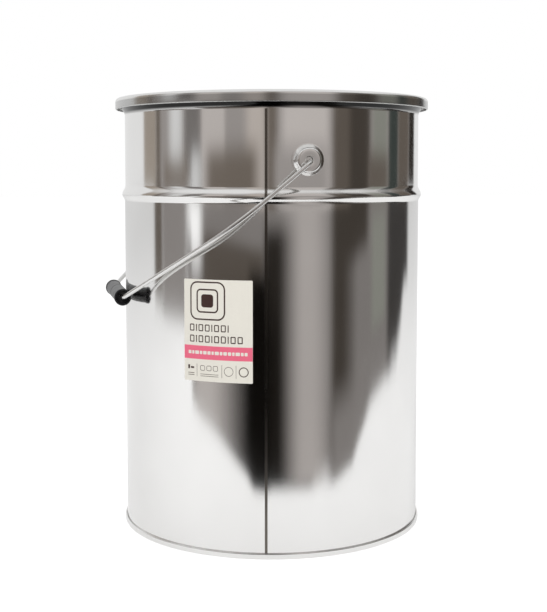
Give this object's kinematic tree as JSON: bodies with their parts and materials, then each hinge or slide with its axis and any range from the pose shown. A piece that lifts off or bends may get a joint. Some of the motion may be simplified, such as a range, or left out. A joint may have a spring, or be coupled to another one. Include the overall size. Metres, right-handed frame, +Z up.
{
  "type": "tinplate pail",
  "caption": "Tinplate pail with a beaded wall, a lid held by a lever-locked closing ring, a wire bail with a plastic grip, and a paper label.",
  "frame": {"origin": "on the pail's axis at floor level, in the plane of the double seam's underside", "axes": "+Z up along the pail's axis, Y through the two ears with the front ear at -Y, and the bail hanging towards -X"},
  "size_m": [0.3142, 0.316, 0.4095],
  "materials": {
    "tinplate": "bright tinned sheet steel, nearly a mirror",
    "gasket": "matt",
    "ring_steel": "bright rolled steel",
    "lock_steel": "zinc plated, satin",
    "wire": "drawn and zinc plated, satin",
    "grip_plastic": "moulded, half gloss",
    "label_paper": "smooth uncoated paper",
    "stripe_print": "flat print",
    "dark_print": "flat print"
  },
  "bodies": {
    "pail": {"body_shell": "tinplate", "base_end": "tinplate", "ear_front": "tinplate", "ear_rear": "tinplate", "label": "label_paper", "label_stripe": "stripe_print", "label_print": "dark_print"},
    "closure": {"lid": "tinplate", "lid_gasket": "gasket", "ring_band": "ring_steel", "lever_bracket": "lock_steel", "catch_bracket": "lock_steel", "lever_rivets": "lock_steel", "catch_pin": "lock_steel"},
    "lever": {"latch_lever": "lock_steel", "link_pin": "lock_steel"},
    "link": {"latch_link": "lock_steel"},
    "bail": {"bail_wire": "wire"},
    "handle": {"grip": "grip_plastic"}
  },
  "joints": [
    {"name": "lid_lift", "type": "slide", "parent": "pail", "child": "closure", "axis": [0, 0, 1], "range_m": [0, 0.04]},
    {"name": "lever_open", "type": "hinge", "parent": "closure", "child": "lever", "pos_m": [0.14747, 0.04837, 0.40425], "axis": [0, 0, -1], "range_deg": [0, 150]},
    {"name": "link_turn", "type": "hinge", "parent": "lever", "child": "link", "pos_m": [0.14312, 0.05847, 0.40425], "axis": [0, 0, -1], "range_deg": [-150, 0]},
    {"name": "bail_swing", "type": "hinge", "parent": "pail", "child": "bail", "pos_m": [0, 0, 0.3483], "axis": [0, 1, 0], "range_deg": [0, 258.7]},
    {"name": "grip_spin", "type": "hinge", "parent": "bail", "child": "handle", "pos_m": [-0.15115, 0, 0.22431], "axis": [0, 1, 0], "continuous": true}
  ],
  "couplings": [
    {"joint": "link_turn", "follows": "lever_open", "ratio": -1}
  ]
}
